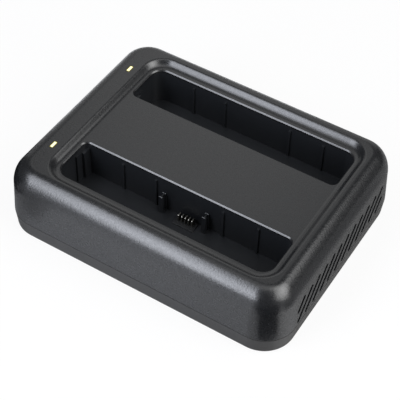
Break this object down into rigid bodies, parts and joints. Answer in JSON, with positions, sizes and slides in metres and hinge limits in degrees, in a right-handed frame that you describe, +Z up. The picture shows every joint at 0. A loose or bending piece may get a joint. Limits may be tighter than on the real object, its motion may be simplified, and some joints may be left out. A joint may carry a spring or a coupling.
{
  "type": "battery charging dock",
  "caption": "Low desktop charging dock with two long open battery bays, sprung contacts between guide posts, rim status lamps and slanted end vents.",
  "frame": {"origin": "middle of the footprint's box on the surface the feet rest on", "axes": "+X along the bays towards the vented end, +Y towards the mains inlet's side, +Z up"},
  "size_m": [0.2414, 0.1892, 0.0603],
  "materials": {
    "base_plastic": "fine spark-eroded black moulding, flatter than the cover",
    "bay_plastic": "black moulding, lightly textured",
    "block_plastic": "black glass-filled insulator",
    "capacitor_sleeve": "dark heat-shrink sleeve",
    "chip_epoxy": "black moulded epoxy",
    "circuit_board": "green solder mask",
    "contact_metal": "bright nickel and gold plated contact",
    "cover_plastic": "fine spark-eroded black moulding",
    "enamelled_wire": "copper windings under enamel",
    "ferrite": "dark grey ferrite",
    "film_capacitor_case": "yellow box case",
    "foot_rubber": "dull black rubber",
    "fuse_glass": "ceramic fuse body",
    "header_plastic": "cream nylon",
    "heat_sink_metal": "plain extruded aluminium",
    "inlet_plastic": "black nylon",
    "insulation_film": "milky polypropylene film",
    "lamp_chip": "lamp chip",
    "lamp_window": "lit pale yellow light pipe",
    "nickel": "nickel-plated brass",
    "screw_steel": "zinc-plated steel",
    "spring_steel": "bright spring wire",
    "winding_tape": "yellow polyester tape",
    "wire_insulation": "black wire insulation"
  },
  "bodies": {
    "dock": {"board_screws": "screw_steel", "bottom_base": "base_plastic", "bridge_rectifier": "chip_epoxy", "bulk_capacitor": "capacitor_sleeve", "charge_inductors": "ferrite", "charge_leads": "wire_insulation", "choke_core": "ferrite", "choke_windings": "enamelled_wire", "controller_chips": "chip_epoxy", "cover_screws": "screw_steel", "film_capacitor": "film_capacitor_case", "front_bay_tub": "bay_plastic", "front_contact_block": "block_plastic", "front_contact_board": "circuit_board", "front_contact_spring_1": "spring_steel", "front_contact_spring_2": "spring_steel", "front_contact_spring_3": "spring_steel", "front_contact_spring_4": "spring_steel", "front_contact_spring_5": "spring_steel", "front_light_pipe": "lamp_window", "fuse": "fuse_glass", "fuse_clips": "nickel", "heat_sink": "heat_sink_metal", "inlet_pins": "nickel", "insulation_sheet": "insulation_film", "lamp_leads": "wire_insulation", "led_board": "circuit_board", "main_board": "circuit_board", "mains_inlet": "inlet_plastic", "mains_leads": "wire_insulation", "mains_terminal": "header_plastic", "output_capacitors": "capacitor_sleeve", "power_transistors": "chip_epoxy", "rear_bay_tub": "bay_plastic", "rear_contact_block": "block_plastic", "rear_contact_board": "circuit_board", "rear_contact_spring_1": "spring_steel", "rear_contact_spring_2": "spring_steel", "rear_contact_spring_3": "spring_steel", "rear_contact_spring_4": "spring_steel", "rear_contact_spring_5": "spring_steel", "rear_light_pipe": "lamp_window", "rubber_feet": "foot_rubber", "status_leds": "lamp_chip", "top_cover": "cover_plastic", "transformer_core": "ferrite", "transformer_winding": "winding_tape", "tub_screws": "screw_steel", "wire_headers": "header_plastic"},
    "front_contact_1": {"front_contact_1": "contact_metal"},
    "front_contact_2": {"front_contact_2": "contact_metal"},
    "front_contact_3": {"front_contact_3": "contact_metal"},
    "front_contact_4": {"front_contact_4": "contact_metal"},
    "front_contact_5": {"front_contact_5": "contact_metal"},
    "rear_contact_1": {"rear_contact_1": "contact_metal"},
    "rear_contact_2": {"rear_contact_2": "contact_metal"},
    "rear_contact_3": {"rear_contact_3": "contact_metal"},
    "rear_contact_4": {"rear_contact_4": "contact_metal"},
    "rear_contact_5": {"rear_contact_5": "contact_metal"}
  },
  "joints": [
    {"name": "front_contact_1_slide", "type": "slide", "parent": "dock", "child": "front_contact_1", "axis": [0, 0, -1], "range_m": [0, 0.0015], "stiffness_N_per_m": 300, "springref_m": -0.002, "deforming": ["front_contact_spring_1"]},
    {"name": "front_contact_2_slide", "type": "slide", "parent": "dock", "child": "front_contact_2", "axis": [0, 0, -1], "range_m": [0, 0.0015], "stiffness_N_per_m": 300, "springref_m": -0.002, "deforming": ["front_contact_spring_2"]},
    {"name": "front_contact_3_slide", "type": "slide", "parent": "dock", "child": "front_contact_3", "axis": [0, 0, -1], "range_m": [0, 0.0015], "stiffness_N_per_m": 300, "springref_m": -0.002, "deforming": ["front_contact_spring_3"]},
    {"name": "front_contact_4_slide", "type": "slide", "parent": "dock", "child": "front_contact_4", "axis": [0, 0, -1], "range_m": [0, 0.0015], "stiffness_N_per_m": 300, "springref_m": -0.002, "deforming": ["front_contact_spring_4"]},
    {"name": "front_contact_5_slide", "type": "slide", "parent": "dock", "child": "front_contact_5", "axis": [0, 0, -1], "range_m": [0, 0.0015], "stiffness_N_per_m": 300, "springref_m": -0.002, "deforming": ["front_contact_spring_5"]},
    {"name": "rear_contact_1_slide", "type": "slide", "parent": "dock", "child": "rear_contact_1", "axis": [0, 0, -1], "range_m": [0, 0.0015], "stiffness_N_per_m": 300, "springref_m": -0.002, "deforming": ["rear_contact_spring_1"]},
    {"name": "rear_contact_2_slide", "type": "slide", "parent": "dock", "child": "rear_contact_2", "axis": [0, 0, -1], "range_m": [0, 0.0015], "stiffness_N_per_m": 300, "springref_m": -0.002, "deforming": ["rear_contact_spring_2"]},
    {"name": "rear_contact_3_slide", "type": "slide", "parent": "dock", "child": "rear_contact_3", "axis": [0, 0, -1], "range_m": [0, 0.0015], "stiffness_N_per_m": 300, "springref_m": -0.002, "deforming": ["rear_contact_spring_3"]},
    {"name": "rear_contact_4_slide", "type": "slide", "parent": "dock", "child": "rear_contact_4", "axis": [0, 0, -1], "range_m": [0, 0.0015], "stiffness_N_per_m": 300, "springref_m": -0.002, "deforming": ["rear_contact_spring_4"]},
    {"name": "rear_contact_5_slide", "type": "slide", "parent": "dock", "child": "rear_contact_5", "axis": [0, 0, -1], "range_m": [0, 0.0015], "stiffness_N_per_m": 300, "springref_m": -0.002, "deforming": ["rear_contact_spring_5"]}
  ]
}
